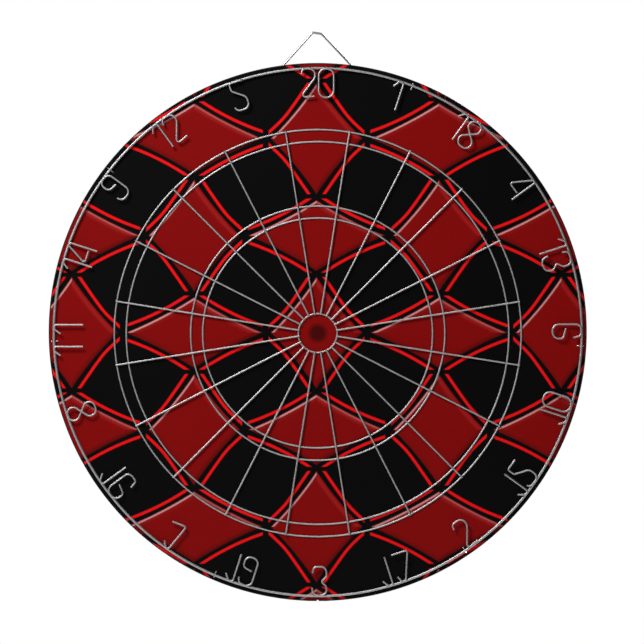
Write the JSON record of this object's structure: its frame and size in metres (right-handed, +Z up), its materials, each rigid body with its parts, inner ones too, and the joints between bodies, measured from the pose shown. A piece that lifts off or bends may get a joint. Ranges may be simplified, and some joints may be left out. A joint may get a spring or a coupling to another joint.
{
  "type": "magnetic dartboard",
  "caption": "Round wall dartboard with a wire score cage, a turning ring of bent-wire numbers and a folding wire hanger, over a steel-backed printed face.",
  "frame": {"origin": "on the board's axis, in the plane of the wall: the rear face of the centre pad", "axes": "the face looks along -Y, +Y runs into the wall, +Z is up and +X is to the viewer's right"},
  "size_m": [0.451, 0.0239, 0.4787],
  "materials": {
    "print": "satin printed film, red and black pattern",
    "sheet_steel": "bare cold-rolled sheet",
    "core": "wound paper strip",
    "backing": "black pressed board",
    "band": "black enamel on steel strip",
    "zinc": "zinc-plated steel",
    "cage_wire": "galvanised wire, satin",
    "number_wire": "galvanised wire, satin",
    "clip_wire": "bright spring wire",
    "hanger_wire": "galvanised wire, satin",
    "screw": "zinc-plated pan-head screw",
    "pad": "matt black rubber"
  },
  "bodies": {
    "board": {"face_sheet": "print", "steel_sheet": "sheet_steel", "core": "core", "back_sheet": "backing", "rim_band": "band", "band_strap": "zinc", "band_rivets": "zinc", "bull_ring": "cage_wire", "treble_ring_inner": "cage_wire", "treble_ring_outer": "cage_wire", "double_ring_inner": "cage_wire", "double_ring_outer": "cage_wire", "sector_wire_1": "cage_wire", "sector_wire_2": "cage_wire", "sector_wire_3": "cage_wire", "sector_wire_4": "cage_wire", "sector_wire_5": "cage_wire", "sector_wire_6": "cage_wire", "sector_wire_7": "cage_wire", "sector_wire_8": "cage_wire", "sector_wire_9": "cage_wire", "sector_wire_10": "cage_wire", "sector_wire_11": "cage_wire", "sector_wire_12": "cage_wire", "sector_wire_13": "cage_wire", "sector_wire_14": "cage_wire", "sector_wire_15": "cage_wire", "sector_wire_16": "cage_wire", "sector_wire_17": "cage_wire", "sector_wire_18": "cage_wire", "sector_wire_19": "cage_wire", "sector_wire_20": "cage_wire", "cage_pins": "cage_wire", "ring_clips": "clip_wire", "hanger_saddles": "zinc", "saddle_screws": "screw", "wall_pads": "pad"},
    "number_ring": {"number_ring": "number_wire", "number_20": "number_wire", "number_1": "number_wire", "number_18": "number_wire", "number_4": "number_wire", "number_13": "number_wire", "number_6": "number_wire", "number_10": "number_wire", "number_15": "number_wire", "number_2": "number_wire", "number_17": "number_wire", "number_3": "number_wire", "number_19": "number_wire", "number_7": "number_wire", "number_16": "number_wire", "number_8": "number_wire", "number_11": "number_wire", "number_14": "number_wire", "number_9": "number_wire", "number_12": "number_wire", "number_5": "number_wire"},
    "hanger": {"hanger": "hanger_wire"}
  },
  "joints": [
    {"name": "number_ring_turn", "type": "hinge", "parent": "board", "child": "number_ring", "pos_m": [0, -0.02132, 0], "axis": [0, -1, 0], "continuous": true},
    {"name": "hanger_fold", "type": "hinge", "parent": "board", "child": "hanger", "pos_m": [0, -0.003, 0.206], "axis": [-1, 0, 0], "range_deg": [0, 180]}
  ]
}
